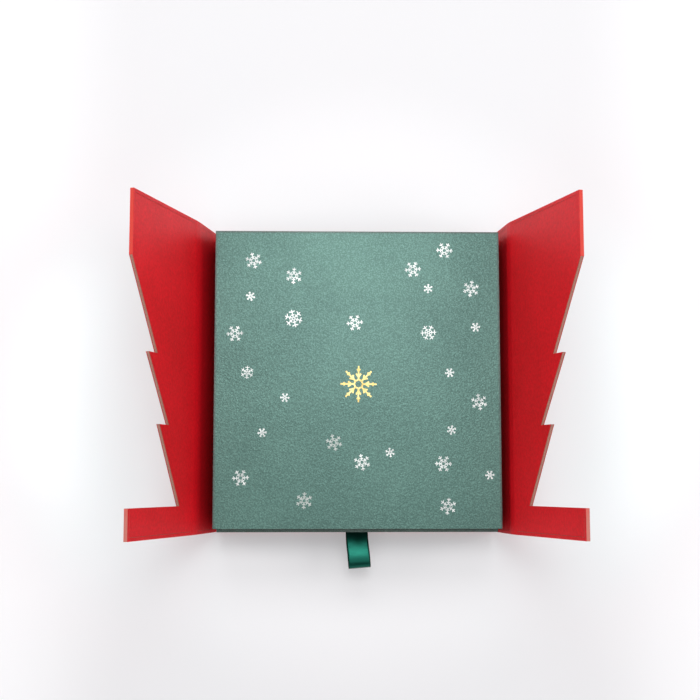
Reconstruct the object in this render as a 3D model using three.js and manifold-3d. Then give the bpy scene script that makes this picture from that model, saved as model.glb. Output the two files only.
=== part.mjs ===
// Flat gift box: a paper-covered case with two doors, folded round a drawer in a sleeve.
// The free edges of the doors are cut in three steps. Closed, they leave a fir tree open between
// them. The doors stand open here, and a ribbon loop pulls the drawer out to the front.
// Millimetres, +Z up, front towards -Y. The origin is the middle of the underside.

import * as THREE from 'three';
import { mergeVertices } from 'three/addons/utils/BufferGeometryUtils.js';
import Module from 'manifold-3d';

const wasm = await Module();
wasm.setup();

// Sleeve, the green box that the drawer slides in
const sleeveWidth = 205;
const sleeveDepth = 213.5;
const sleeveHeight = 50;
const sleeveBoard = 1.7;

// Sheets: covering paper, and the glue line that keeps each sheet off its board
const paper = 0.2;
const glueLine = 0.25;

// Case: base, two sides and two doors. The sleeve is glued in a little forward of the middle.
const caseBoard = 1.7;
const frontOverhang = 4;
const rearOverhang = 6.2;
const sideClearance = 0.8;
const topClearance = 0.6;
const doorMeetingGap = 1;
const liningMargin = 2.6;
const foldClearance = 0.4;
const foldSlit = 0.4;

// Fir tree that the closed doors leave open, so that it grows with the case. Tiers run from the
// foot up. Their half widths are shares of the case's half width, and the bar in front of the
// tree and each rise are shares of the case's depth.
const frontBarShare = 0.0916;
const tierShares = [
  { foot: 0.751, top: 0.43, rise: 0.2436 },
  { foot: 0.571, top: 0.26, rise: 0.2079 },
  { foot: 0.387, top: 0, rise: 0.2682 },
];

// How far the sides and doors lean outwards from upright, as they stand open
const leftSideLean = 11.5;
const rightSideLean = 6;
const leftDoorLean = 17.3;
const rightDoorLean = 16.5;

// Hidden magnets in the doors, and the steel plates that they close on
const magnetDiameter = 10;
const magnetThickness = 1.3;
const magnetClearance = 0.25;
const magnetFromMeeting = 14;
const magnetFromTree = 2.75;
const magnetFromRear = 20;

// Drawer
const drawerBoard = 1.5;
const drawerSideClearance = 0.5;
const drawerFloorClearance = 0.3;
const drawerTopClearance = 0.7;
const drawerBackClearance = 1.5;
const drawerProud = 2.4;

// Ribbon loop that pulls the drawer
const ribbonWidth = 16;
const ribbonThickness = 0.4;
const ribbonReach = 27;
const ribbonSwell = 6.2;
const ribbonDroop = 2;
const ribbonTabLength = 14;
const ribbonSwing = 4.5;
const slitSideClearance = 1;
const slitHeight = 2.2;
const strandGap = 0.6;
const bendRadius = 0.8;

// How finely round shapes are divided, and how far a cutter runs past what it cuts
const discSides = 32;
const loopSteps = 48;
const bendSteps = 4;
const cutOverrun = 1;

// Sizes that follow from the ones above
const caseWall = caseBoard + 2 * (paper + glueLine);
const caseHalfWidth = sleeveWidth / 2 + sideClearance + caseWall;
const caseHalfDepth = (frontOverhang + sleeveDepth + rearOverhang) / 2;
const boardSetback = caseWall + foldClearance;
const sleeveFloor = caseWall + glueLine;
const sleeveTop = sleeveFloor + sleeveHeight;
const sideHeight = sleeveTop + topClearance + caseWall;
const doorLength = caseHalfWidth - doorMeetingGap / 2;
const sleeveWall = sleeveBoard + paper + glueLine;
const frontBarWidth = frontBarShare * 2 * caseHalfDepth;
const tiers = tierShares.map(({ foot, top, rise }) => ({
  foot: foot * caseHalfWidth,
  top: top * caseHalfWidth,
  rise: rise * 2 * caseHalfDepth,
}));

const materials = {
  board: new THREE.MeshStandardMaterial({ color: 0xb3a89a, roughness: 0.95 }),
  red: new THREE.MeshStandardMaterial({ color: 0xc0242a, roughness: 0.5 }),
  green: new THREE.MeshStandardMaterial({ color: 0x6d8c85, roughness: 0.45 }),
  lining: new THREE.MeshStandardMaterial({ color: 0xe9e4da, roughness: 0.8 }),
  ribbon: new THREE.MeshStandardMaterial({ color: 0x0f5a49, roughness: 0.35 }),
  magnet: new THREE.MeshStandardMaterial({ color: 0x9a9ca0, roughness: 0.3, metalness: 1 }),
};

// Turns a closed geometry into a solid that can be joined and cut.
function toSolid(geometry) {
  const bare = geometry.clone();
  bare.deleteAttribute('normal');
  bare.deleteAttribute('uv');
  const merged = mergeVertices(bare);
  return new wasm.Manifold(new wasm.Mesh({
    numProp: 3,
    vertProperties: new Float32Array(merged.attributes.position.array),
    triVerts: new Uint32Array(merged.index.array),
  }));
}

function toGeometry(solid) {
  const mesh = solid.getMesh();
  const geometry = new THREE.BufferGeometry();
  geometry.setAttribute('position', new THREE.BufferAttribute(new Float32Array(mesh.vertProperties), 3));
  geometry.setIndex(new THREE.BufferAttribute(new Uint32Array(mesh.triVerts), 1));
  geometry.computeVertexNormals();
  return geometry;
}

function piece(name, solid, material) {
  const mesh = new THREE.Mesh(toGeometry(solid), material);
  mesh.name = name;
  return mesh;
}

// A block between two limits along each axis
function block(x, y, z) {
  const geometry = new THREE.BoxGeometry(x[1] - x[0], y[1] - y[0], z[1] - z[0]);
  geometry.translate((x[0] + x[1]) / 2, (y[0] + y[1]) / 2, (z[0] + z[1]) / 2);
  return toSolid(geometry);
}

// An upright disc, standing on z
function disc(x, y, z, diameter, thickness) {
  const geometry = new THREE.CylinderGeometry(diameter / 2, diameter / 2, thickness, discSides);
  geometry.rotateX(Math.PI / 2);
  geometry.translate(x, y, z + thickness / 2);
  return toSolid(geometry);
}

const around = (half) => [-half, half];
const grow = (span, by) => [span[0] - by, span[1] + by];

// A panel of the case lies flat with its outer paper down. x runs away from its fold, y along it.
// The outer paper reaches almost to the fold, and the board stops short so that the panels can
// stand square to each other. foldAtEnd says whether the far edge is a fold too.
function panelSpans(length, foldAtEnd) {
  const boardEnd = foldAtEnd ? length - boardSetback : length - paper - glueLine;
  const liningEnd = foldAtEnd ? length - boardSetback : length - liningMargin;
  const sheetEnd = foldAtEnd ? length - foldSlit : length;
  return { boardEnd, liningEnd, sheetEnd };
}

function panelBoard(length, foldAtEnd) {
  const { boardEnd } = panelSpans(length, foldAtEnd);
  const floor = paper + glueLine;
  return block([boardSetback, boardEnd], around(caseHalfDepth - floor), [floor, floor + caseBoard]);
}

function panelLining(length, foldAtEnd) {
  const { liningEnd } = panelSpans(length, foldAtEnd);
  const width = around(caseHalfDepth - liningMargin);
  return block([boardSetback, liningEnd], width, [caseWall - paper, caseWall]);
}

// The outer paper with its edges turned up round the board and in over its rim
function panelWrap(length, foldAtEnd) {
  const { boardEnd, liningEnd, sheetEnd } = panelSpans(length, foldAtEnd);
  const sheet = block([foldSlit, sheetEnd], around(caseHalfDepth), [0, paper]);
  const rimEnd = foldAtEnd ? boardEnd : length;
  const cavityEnd = foldAtEnd ? rimEnd + cutOverrun : length - paper;
  const windowEnd = foldAtEnd ? rimEnd + cutOverrun : liningEnd + glueLine;
  const start = boardSetback - cutOverrun;
  const rim = block([boardSetback, rimEnd], around(caseHalfDepth), [0, caseWall]);
  const cavity = block([start, cavityEnd], around(caseHalfDepth - paper), [paper, caseWall - paper]);
  const windowWidth = around(caseHalfDepth - liningMargin + glueLine);
  const window = block([start, windowEnd], windowWidth, [paper, caseWall + cutOverrun]);
  return sheet.add(rim.subtract(cavity).subtract(window));
}

// Half of the fir tree as a cutter through a door that lies flat. y runs to the rear times front.
function treeCutter(front) {
  const outline = new THREE.Shape();
  let y = frontBarWidth - caseHalfDepth;
  outline.moveTo(caseHalfWidth + cutOverrun, y * front);
  for (const tier of tiers) {
    outline.lineTo(caseHalfWidth - tier.foot, y * front);
    y += tier.rise;
    outline.lineTo(caseHalfWidth - tier.top, y * front);
  }
  outline.lineTo(caseHalfWidth + cutOverrun, y * front);
  const depth = caseWall + 2 * cutOverrun;
  const geometry = new THREE.ExtrudeGeometry(outline, { depth, bevelEnabled: false });
  return toSolid(geometry.translate(0, 0, -cutOverrun));
}

// Places of the hidden magnets along the depth of the closed box. The front ones keep to the bar.
const magnetPlaces = {
  front: frontBarWidth - magnetFromTree - magnetDiameter / 2 - caseHalfDepth,
  rear: caseHalfDepth - magnetFromRear,
};

function magnetPocket(x, y, z, thickness) {
  const depth = thickness + 2 * cutOverrun;
  return disc(x, y, z - cutOverrun, magnetDiameter + 2 * magnetClearance, depth);
}

// A door, flat, with its fold at x = 0. Where front is -1, the door is made turned end for end.
function makeDoor(side, front) {
  const cutter = treeCutter(front);
  const boardFloor = paper + glueLine;
  const magnetX = caseHalfWidth - magnetFromMeeting;
  const magnetZ = boardFloor + (caseBoard - magnetThickness) / 2;
  const group = new THREE.Group();
  let board = panelBoard(doorLength, false).subtract(cutter);
  for (const [place, y] of Object.entries(magnetPlaces)) {
    board = board.subtract(magnetPocket(magnetX, y * front, boardFloor, caseBoard));
    const magnet = disc(magnetX, y * front, magnetZ, magnetDiameter, magnetThickness);
    group.add(piece(`${side}_door_magnet_${place}`, magnet, materials.magnet));
  }
  group.add(piece(`${side}_door_board`, board, materials.board));
  group.add(piece(`${side}_door_wrap`, panelWrap(doorLength, false).subtract(cutter), materials.red));
  group.add(piece(`${side}_door_lining`, panelLining(doorLength, false).subtract(cutter), materials.red));
  return group;
}

function makePanel(name, length) {
  const group = new THREE.Group();
  group.add(piece(`${name}_board`, panelBoard(length, true), materials.board));
  group.add(piece(`${name}_wrap`, panelWrap(length, true), materials.red));
  group.add(piece(`${name}_lining`, panelLining(length, true), materials.red));
  return group;
}

// A side folds up from the base, and a door goes on from the side. Both folds run along y.
function makeFlap(side, sideLean, doorLean) {
  const front = side === 'left' ? -1 : 1;
  const door = makeDoor(side, front);
  door.position.x = sideHeight;
  door.rotation.y = THREE.MathUtils.degToRad(doorLean - sideLean);
  const panel = makePanel(`${side}_side`, sideHeight);
  panel.add(door);
  panel.position.x = caseHalfWidth;
  panel.rotation.y = THREE.MathUtils.degToRad(sideLean) - Math.PI / 2;
  const flap = new THREE.Group();
  flap.add(panel);
  if (side === 'left') flap.rotation.z = Math.PI;
  return flap;
}

function makeBase() {
  const base = makePanel('case_base', 2 * caseHalfWidth);
  base.position.x = -caseHalfWidth;
  return base;
}

// The sleeve is a paper-covered board box, open at the front.
const sleeve = {
  x: around(sleeveWidth / 2),
  y: [frontOverhang - caseHalfDepth, caseHalfDepth - rearOverhang],
  z: [sleeveFloor, sleeveTop],
};

function makeSleeve() {
  const skin = paper + glueLine;
  const out = { x: grow(sleeve.x, -skin), y: grow(sleeve.y, -skin), z: grow(sleeve.z, -skin) };
  const inn = { x: grow(sleeve.x, -sleeveWall), z: grow(sleeve.z, -sleeveWall) };
  const backFace = sleeve.y[1] - sleeveWall;
  const group = new THREE.Group();
  const add = (name, solid) => group.add(piece(`sleeve_${name}`, solid, materials.board));

  let top = block(out.x, out.y, [inn.z[1], out.z[1]]);
  const plateZ = out.z[1] - (sleeveBoard + magnetThickness) / 2;
  for (const [place, y] of Object.entries(magnetPlaces)) {
    for (const [side, way] of [['left', -1], ['right', 1]]) {
      const x = magnetFromMeeting * way;
      top = top.subtract(magnetPocket(x, y, inn.z[1], sleeveBoard));
      const plate = disc(x, y, plateZ, magnetDiameter, magnetThickness);
      group.add(piece(`keeper_plate_${place}_${side}`, plate, materials.magnet));
    }
  }
  add('top_board', top);
  add('bottom_board', block(out.x, out.y, [out.z[0], inn.z[0]]));
  const height = [inn.z[0] + glueLine, inn.z[1] - glueLine];
  add('left_board', block([out.x[0], inn.x[0]], out.y, height));
  add('right_board', block([inn.x[1], out.x[1]], out.y, height));
  add('back_board', block(grow(inn.x, -glueLine), [backFace, out.y[1]], height));

  const cavity = block(grow(sleeve.x, -paper), grow(sleeve.y, -paper), grow(sleeve.z, -paper));
  const mouthX = grow(inn.x, glueLine);
  const mouthZ = grow(inn.z, glueLine);
  const mouth = block(mouthX, [sleeve.y[0] - cutOverrun, sleeve.y[0] + sleeveWall], mouthZ);
  const wrap = block(sleeve.x, sleeve.y, sleeve.z).subtract(cavity).subtract(mouth);
  group.add(piece('sleeve_wrap', wrap, materials.green));
  return group;
}

// The drawer fills the sleeve with a running clearance, and its front stands a little proud.
const drawer = {
  x: grow(sleeve.x, -sleeveWall - drawerSideClearance),
  y: [sleeve.y[0] - drawerProud, sleeve.y[1] - sleeveWall - drawerBackClearance],
  z: [sleeve.z[0] + sleeveWall + drawerFloorClearance, sleeve.z[1] - sleeveWall - drawerTopClearance],
};
const drawerSkin = paper + glueLine;
const drawerWall = drawerBoard + 2 * drawerSkin;
const slitZ = (drawer.z[0] + drawer.z[1]) / 2;

function slitCutter() {
  const span = [drawer.y[0] - cutOverrun, drawer.y[0] + drawerWall + cutOverrun];
  return block(around(ribbonWidth / 2 + slitSideClearance), span, [slitZ - slitHeight / 2, slitZ + slitHeight / 2]);
}

function makeDrawer() {
  const out = {
    x: grow(drawer.x, -drawerSkin),
    y: grow(drawer.y, -drawerSkin),
    z: grow(drawer.z, -drawerSkin),
  };
  const boardIn = { x: grow(out.x, -drawerBoard), y: grow(out.y, -drawerBoard) };
  const floorTop = out.z[0] + drawerBoard;
  const height = [floorTop + glueLine, out.z[1]];
  const slit = slitCutter();
  const group = new THREE.Group();
  const add = (name, solid, material) => group.add(piece(`drawer_${name}`, solid, material));

  add('base_board', block(out.x, out.y, [out.z[0], floorTop]), materials.board);
  add('left_board', block([out.x[0], boardIn.x[0]], out.y, height), materials.board);
  add('right_board', block([boardIn.x[1], out.x[1]], out.y, height), materials.board);
  const across = grow(boardIn.x, -glueLine);
  add('back_board', block(across, [boardIn.y[1], out.y[1]], height), materials.board);
  add('front_board', block(across, [out.y[0], boardIn.y[0]], height).subtract(slit), materials.board);

  const room = { x: grow(boardIn.x, -glueLine), y: grow(boardIn.y, -glueLine) };
  const roomTop = drawer.z[1] - paper;
  const cavity = block(grow(drawer.x, -paper), grow(drawer.y, -paper), grow(drawer.z, -paper));
  const mouth = block(room.x, room.y, [floorTop, drawer.z[1] + cutOverrun]);
  const wrap = block(drawer.x, drawer.y, drawer.z).subtract(cavity).subtract(mouth).subtract(slit);
  add('wrap', wrap, materials.green);

  const trayFloor = floorTop + glueLine;
  const tray = block(room.x, room.y, [trayFloor, roomTop]);
  const inside = block(grow(room.x, -paper), grow(room.y, -paper), [trayFloor + paper, roomTop + cutOverrun]);
  add('lining', tray.subtract(inside).subtract(slit), materials.lining);
  group.add(makeRibbon(room.y[0] + paper));
  return group;
}

// Middle line of the ribbon in the y-z plane: a tab glued up inside, out through the slit, round
// the loop, back through the slit, and a tab glued down inside.
function ribbonPath(innerFace) {
  const points = [];
  const strand = (strandGap + ribbonThickness) / 2;
  const tabY = innerFace + glueLine + ribbonThickness / 2;
  const add = (y, z) => points.push(new THREE.Vector2(y, slitZ + z));
  const bend = (way) => {
    for (let i = 0; i <= bendSteps; i++) {
      const turn = (Math.PI / 2) * (i / bendSteps);
      add(tabY - bendRadius * (1 - Math.cos(turn)), way * (strand + bendRadius * (1 - Math.sin(turn))));
    }
  };
  add(tabY, strand + bendRadius + ribbonTabLength);
  bend(1);
  for (let i = 1; i < loopSteps; i++) {
    const turn = (2 * Math.PI * i) / loopSteps;
    const out = (1 - Math.cos(turn)) / 2;
    const swell = ribbonSwell * Math.sin(turn) * out;
    add(drawer.y[0] - ribbonReach * out, strand * Math.cos(turn / 2) + swell - ribbonDroop * out * out);
  }
  const inner = points.length;
  bend(-1);
  points.push(...points.splice(inner).reverse());
  add(tabY, -strand - bendRadius - ribbonTabLength);
  return points;
}

// A band of even thickness on both sides of a middle line
function bandOutline(points, thickness) {
  const offset = (sign) => points.map((point, i) => {
    const before = points[Math.max(i - 1, 0)];
    const after = points[Math.min(i + 1, points.length - 1)];
    const along = after.clone().sub(before).normalize();
    const across = new THREE.Vector2(-along.y, along.x).multiplyScalar(sign * thickness / 2);
    return point.clone().add(across);
  });
  return new THREE.Shape([...offset(1), ...offset(-1).reverse()]);
}

function makeRibbon(innerFace) {
  const outline = bandOutline(ribbonPath(innerFace), ribbonThickness);
  const geometry = new THREE.ExtrudeGeometry(outline, { depth: ribbonWidth, bevelEnabled: false });
  geometry.translate(0, 0, -ribbonWidth / 2);
  const axes = [new THREE.Vector3(0, 1, 0), new THREE.Vector3(0, 0, 1), new THREE.Vector3(1, 0, 0)];
  geometry.applyMatrix4(new THREE.Matrix4().makeBasis(...axes));
  swingLoop(geometry);
  return piece('ribbon_pull', toSolid(geometry), materials.ribbon);
}

// The loop hangs a little to one side. Its swing grows from nothing at the slit.
function swingLoop(geometry) {
  const position = geometry.attributes.position;
  for (let i = 0; i < position.count; i++) {
    const out = Math.max(drawer.y[0] - position.getY(i), 0);
    const turn = THREE.MathUtils.degToRad(ribbonSwing) * Math.min(out / ribbonWidth, 1);
    const x = position.getX(i);
    position.setX(i, x * Math.cos(turn) + out * Math.sin(turn));
    position.setY(i, position.getY(i) + x * Math.sin(turn));
  }
}

const giftBox = new THREE.Group();
giftBox.add(makeBase());
giftBox.add(makeFlap('left', leftSideLean, leftDoorLean));
giftBox.add(makeFlap('right', rightSideLean, rightDoorLean));
giftBox.add(makeSleeve());
giftBox.add(makeDrawer());

export default giftBox;
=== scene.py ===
# %% [markdown]
# A gift box in Blender. A red paper case stands open round a green sleeve. The case's doors are cut
# so that they leave a fir tree open when they close. The rigid boards and papers come from the CAD
# model, which is the fixed frame. Blender gives them their finishes, and makes what is thin or
# soft: the foil ornaments, the paper in the folds and the ribbon loop.

# %% Load the frame
import math
import bmesh
import bpy
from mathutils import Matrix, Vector


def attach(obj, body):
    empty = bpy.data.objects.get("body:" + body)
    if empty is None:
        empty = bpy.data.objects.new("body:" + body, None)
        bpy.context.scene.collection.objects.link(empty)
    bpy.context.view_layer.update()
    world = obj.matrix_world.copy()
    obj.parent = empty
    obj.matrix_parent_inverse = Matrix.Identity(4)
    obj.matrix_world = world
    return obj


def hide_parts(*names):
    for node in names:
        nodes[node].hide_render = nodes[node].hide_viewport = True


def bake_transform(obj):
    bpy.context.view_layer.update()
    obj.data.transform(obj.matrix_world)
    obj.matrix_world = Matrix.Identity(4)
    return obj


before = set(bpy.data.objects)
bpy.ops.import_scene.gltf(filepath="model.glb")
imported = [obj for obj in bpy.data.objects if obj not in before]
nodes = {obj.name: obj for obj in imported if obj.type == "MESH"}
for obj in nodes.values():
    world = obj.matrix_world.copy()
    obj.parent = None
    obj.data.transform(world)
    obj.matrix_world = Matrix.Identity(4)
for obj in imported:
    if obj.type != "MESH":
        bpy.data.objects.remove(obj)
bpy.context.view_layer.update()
MM = 0.001
print("CAD nodes:", len(nodes))

# %% [markdown]
# Every number of the box that Blender needs again is stated once, in millimetres, as the CAD model
# has it. A lean is in degrees from upright. Pieces are made in the frame's own place, so that none
# has to be moved to fit.

# %% Sizes of the box
SLEEVE_TOP = 52.85
SLEEVE_HALF_WIDTH = 102.5
SLEEVE_HALF_DEPTH = 106.75
SLEEVE_MIDDLE = -1.1
CASE_HALF_WIDTH = 105.9
CASE_HALF_DEPTH = 111.85
SIDE_HEIGHT = 56.05
CASE_WALL = 2.6
BOARD_SETBACK = 3.0
SIDE_LEAN = {"left": 11.5, "right": 6.0}
DOOR_LEAN = {"left": 17.3, "right": 16.5}
OUTWARD = {"left": -1, "right": 1}
DRAWER_FRONT = -110.25
print("case is", 2 * CASE_HALF_WIDTH, "by", 2 * CASE_HALF_DEPTH, "mm")


# %% [markdown]
# Colours are chosen on a screen, so they are written as sRGB hex values. Blender mixes light in
# linear values, and one function does the turning. One more adds any node to a tree with its
# settings, its links and, on a colour ramp, its stops. So a material reads as a list of what feeds
# what. The size of each pattern is given in millimetres and turned to a texture's scale.

# %% Colour and node helpers
def linear(hex_code):
    """An sRGB hex colour as a linear RGBA tuple."""
    parts = [int(hex_code[i:i + 2], 16) / 255 for i in (1, 3, 5)]
    turned = [p / 12.92 if p <= 0.04045 else ((p + 0.055) / 1.055) ** 2.4 for p in parts]
    return (*turned, 1.0)


def add_node(tree, kind, inputs=None, stops=(), **settings):
    """Adds a node. Its inputs are given values, or sockets to link. Stops are a ramp's colours."""
    node = tree.nodes.new(kind)
    for name, value in settings.items():
        setattr(node, name, value)
    for key, value in (inputs or {}).items():
        if isinstance(value, bpy.types.NodeSocket):
            tree.links.new(value, node.inputs[key])
        else:
            node.inputs[key].default_value = value
    if stops:
        for element, (place, hex_code) in zip(node.color_ramp.elements, stops):
            element.position, element.color = place, linear(hex_code)
    return node


def new_material(name):
    """An empty material, its tree and a texture coordinate node."""
    material = bpy.data.materials.new(name)
    material.use_nodes = True
    material.node_tree.nodes.clear()
    tree = material.node_tree
    return material, tree, add_node(tree, "ShaderNodeTexCoord")


def per_metre(millimetres):
    """Scale of a noise or cell texture whose features are that many millimetres wide."""
    return 1000 / millimetres


print("mid grey is", round(linear("#808080")[0], 3), "in linear light")


# %% [markdown]
# The case is covered with art paper, printed red, with a thin matt film over it. One flat red would
# look like plastic, so noise of three sizes varies it. Handling leaves cloudy patches 45 mm wide,
# and the print is mottled about 2 mm wide. Fibres under the film make its sheen a little uneven.
# They are too fine to show here, so they are drawn 0.9 mm wide. The rims that stand uppermost get
# a painted highlight for the sheen of the light from above: their colour is blended paler by the
# way the surface faces in the part itself, and paler still towards the front bars.

# %% Red laminated paper
CLOUD_WIDTH, MOTTLE_WIDTH, FILM_FIBRE = 45, 2, 0.9
# The painted highlight on rims that face up: where it starts, where it is full, and how pale it is.
RIM_STARTS, RIM_FULL, RIM_HIGHLIGHT = 0.7, 0.9, 0.85
BAR_REAR, BAR_FRONT = -80, -100


def make_red_print(tree, at):
    """The printed red, between a deeper and a brighter tone."""
    cloud = add_node(tree, "ShaderNodeTexNoise", {
        "Vector": at, "Scale": per_metre(CLOUD_WIDTH), "Detail": 3.0})
    mottle = add_node(tree, "ShaderNodeTexNoise", {
        "Vector": at, "Scale": per_metre(MOTTLE_WIDTH), "Detail": 3.0})
    both = add_node(tree, "ShaderNodeMix", {
        0: 0.6, 2: cloud.outputs["Fac"], 3: mottle.outputs["Fac"]}, data_type="FLOAT")
    return add_node(tree, "ShaderNodeValToRGB", {"Fac": both.outputs[0]},
                    stops=((0.36, "#d60a18"), (0.64, "#ef1122"))).outputs["Color"]


def add_rim_highlight(tree, at, normal, print_colour):
    """Paints a highlight on the faces that look up, palest on those of the front bars."""
    facing = add_node(tree, "ShaderNodeSeparateXYZ", {"Vector": normal})
    rim = add_node(tree, "ShaderNodeMapRange", {
        "Value": facing.outputs["Z"], "From Min": RIM_STARTS, "From Max": RIM_FULL,
        "To Max": RIM_HIGHLIGHT})
    forward = add_node(tree, "ShaderNodeSeparateXYZ", {"Vector": at})
    toward_front_bars = add_node(tree, "ShaderNodeMapRange", {
        "Value": forward.outputs["Y"], "From Min": BAR_REAR * MM, "From Max": BAR_FRONT * MM})
    # The colour of the painted rim highlight, paler towards the front bars.
    painted_edge_colour = add_node(tree, "ShaderNodeMix", {
        "Factor": toward_front_bars.outputs["Result"], "A": linear("#d64538"), "B": linear("#c17c6f")},
        data_type="RGBA")
    return add_node(tree, "ShaderNodeMix", {
        "Factor": rim.outputs["Result"], "A": print_colour, "B": painted_edge_colour.outputs["Result"]},
        data_type="RGBA").outputs["Result"]


def make_red_paper():
    material, tree, place = new_material("red_laminated_paper")
    at = place.outputs["Object"]
    colour = add_rim_highlight(tree, at, place.outputs["Normal"], make_red_print(tree, at))
    fibre = add_node(tree, "ShaderNodeTexNoise", {
        "Vector": at, "Scale": per_metre(FILM_FIBRE), "Detail": 4.0})
    bump = add_node(tree, "ShaderNodeBump", {
        "Strength": 0.18, "Distance": 0.08 * MM, "Height": fibre.outputs["Fac"]})
    rough = add_node(tree, "ShaderNodeMapRange", {
        "Value": fibre.outputs["Fac"], "To Min": 0.42, "To Max": 0.58})
    shader = add_node(tree, "ShaderNodeBsdfPrincipled", {
        "Base Color": colour, "Roughness": rough.outputs["Result"],
        "Normal": bump.outputs["Normal"], "IOR": 1.49, "Specular IOR Level": 0.35})
    add_node(tree, "ShaderNodeOutputMaterial", {"Surface": shader.outputs[0]})
    return material


red_paper = make_red_paper()
print("made", red_paper.name)


# %% [markdown]
# The rear and side edges of the sleeve's top get a painted shade, a darker rim about 2 mm wide
# where the paper turns down over the board. That could be painted by hand, but it follows a rule.
# So a few nodes work it out from how near a place is to an edge, and only on faces that look up.

# %% Painted shade at the edges of the sleeve's top
# The painted edge shade: its width in mm and its strongest share.
EDGE_SHADE_WIDTH = 1.8
EDGE_SHADE_MOST = 0.8


def edge_shade_mask(tree, at):
    """Painted shade, from nothing inside the sleeve's top to most at its rear and side edges."""
    split = add_node(tree, "ShaderNodeSeparateXYZ", {"Vector": at})
    turned = add_node(tree, "ShaderNodeSeparateXYZ", {
        "Vector": add_node(tree, "ShaderNodeNewGeometry").outputs["Normal"]})
    across = add_node(tree, "ShaderNodeMath", {0: split.outputs["X"]}, operation="ABSOLUTE")
    shaded_edge = []
    for away, edge in ((across.outputs[0], SLEEVE_HALF_WIDTH),
                       (split.outputs["Y"], SLEEVE_HALF_DEPTH + SLEEVE_MIDDLE)):
        shaded_edge.append(add_node(tree, "ShaderNodeMapRange", {
            "Value": away, "From Min": (edge - EDGE_SHADE_WIDTH) * MM, "From Max": edge * MM,
            "To Max": EDGE_SHADE_MOST}).outputs["Result"])
    nearest = add_node(tree, "ShaderNodeMath", {0: shaded_edge[0], 1: shaded_edge[1]}, operation="MAXIMUM")
    upward = add_node(tree, "ShaderNodeMath", {0: turned.outputs["Z"], 1: 0.5},
                      operation="GREATER_THAN")
    return add_node(tree, "ShaderNodeMath", {0: nearest.outputs[0], 1: upward.outputs[0]},
                    operation="MULTIPLY").outputs[0]


# The painted edge shade is this wide.
print("wear is", EDGE_SHADE_WIDTH, "mm wide")

# %% [markdown]
# The sleeve and drawer are covered with embossed pearl paper. Its grain is pressed in like fine
# leather, in rounded cells a little over a millimetre wide. A cell texture makes them, and a soft
# noise pushes it about by a millimetre or so, so that no row of cells is straight. Mica in the
# coating makes small pale flecks, which a fine noise adds to the colour. A cloud 60 mm wide varies
# the green beneath. The drawer has a deeper green, which is partly a darker paper and partly
# painted shade, for the shade on the drawer front's ledge below the sleeve's edge.

# %% Green embossed pearl paper
CELL_WIDTH = 1.4
WARP_WIDTH, WARP_REACH = 3, 1.2
MICA_WIDTH = 0.9
TONE_WIDTH = 60


def make_pearl_colour(tree, at, low, high, mica_colour):
    """A green that drifts between two tones, with mica flecks added to it."""
    mica = add_node(tree, "ShaderNodeTexNoise", {
        "Vector": at, "Scale": per_metre(MICA_WIDTH), "Detail": 2.0})
    tone = add_node(tree, "ShaderNodeTexNoise", {
        "Vector": at, "Scale": per_metre(TONE_WIDTH), "Detail": 3.0})
    base = add_node(tree, "ShaderNodeValToRGB", {"Fac": tone.outputs["Fac"]},
                    stops=((0.3, low), (0.7, high)))
    fleck = add_node(tree, "ShaderNodeValToRGB", {"Fac": mica.outputs["Fac"]},
                     stops=((0.44, "#000000"), (0.63, mica_colour)))
    return add_node(tree, "ShaderNodeMix", {
        "Factor": 0.5, "A": base.outputs["Color"], "B": fleck.outputs["Color"]},
        data_type="RGBA", blend_type="ADD").outputs["Result"]


def make_pearl_paper(name, low, high, mica_colour, painted_edge_colour):
    material, tree, place = new_material(name)
    at = place.outputs["Object"]
    # Painted shade along the rear and side edges of the top.
    shaded_edge = add_node(tree, "ShaderNodeMix", {
        "Factor": edge_shade_mask(tree, at), "A": make_pearl_colour(tree, at, low, high, mica_colour),
        "B": linear(painted_edge_colour)}, data_type="RGBA")
    warp = add_node(tree, "ShaderNodeTexNoise", {
        "Vector": at, "Scale": per_metre(WARP_WIDTH), "Detail": 2.0})
    shift = add_node(tree, "ShaderNodeVectorMath", {
        0: warp.outputs["Color"], "Scale": WARP_REACH * MM}, operation="SCALE")
    bent = add_node(tree, "ShaderNodeVectorMath", {0: at, 1: shift.outputs["Vector"]})
    cells = add_node(tree, "ShaderNodeTexVoronoi", {
        "Vector": bent.outputs["Vector"], "Scale": per_metre(CELL_WIDTH)}, feature="SMOOTH_F1")
    bump = add_node(tree, "ShaderNodeBump", {
        "Strength": 0.5, "Distance": 0.15 * MM, "Height": cells.outputs["Distance"]})
    shader = add_node(tree, "ShaderNodeBsdfPrincipled", {
        "Base Color": shaded_edge.outputs["Result"], "Roughness": 0.36, "Metallic": 0.45,
        "Normal": bump.outputs["Normal"]})
    add_node(tree, "ShaderNodeOutputMaterial", {"Surface": shader.outputs[0]})
    return material


# The last colour of each paper is its painted edge shade.
pearl_paper = make_pearl_paper("green_embossed_pearl_paper", low="#34544d", high="#3e5f57",
                               mica_colour="#4b655f", painted_edge_colour="#3c3634")
# The drawer's deeper green is partly painted shade on its front ledge.
drawer_paper_and_shade = make_pearl_paper("deep_green_paper_and_shade", low="#1d2d28", high="#22342e",
                              mica_colour="#2b3a35", painted_edge_colour="#1d2d28")
print("made", pearl_paper.name, drawer_paper_and_shade.name)


# %% [markdown]
# Two finishes are plain fibre with no coat. Where the fir tree was cut through a door, the board's
# raw edge shows: greyboard is pressed from waste paper, so it is a matt felt of lighter and darker
# fibres. The drawer is lined with uncoated off-white paper, which is smoother and more even. Paper
# fibres are far thinner than a pixel here, so they are drawn 0.7 to 0.8 mm wide. Both finishes need
# the same nodes, and only their numbers differ, so one function makes them.

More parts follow.
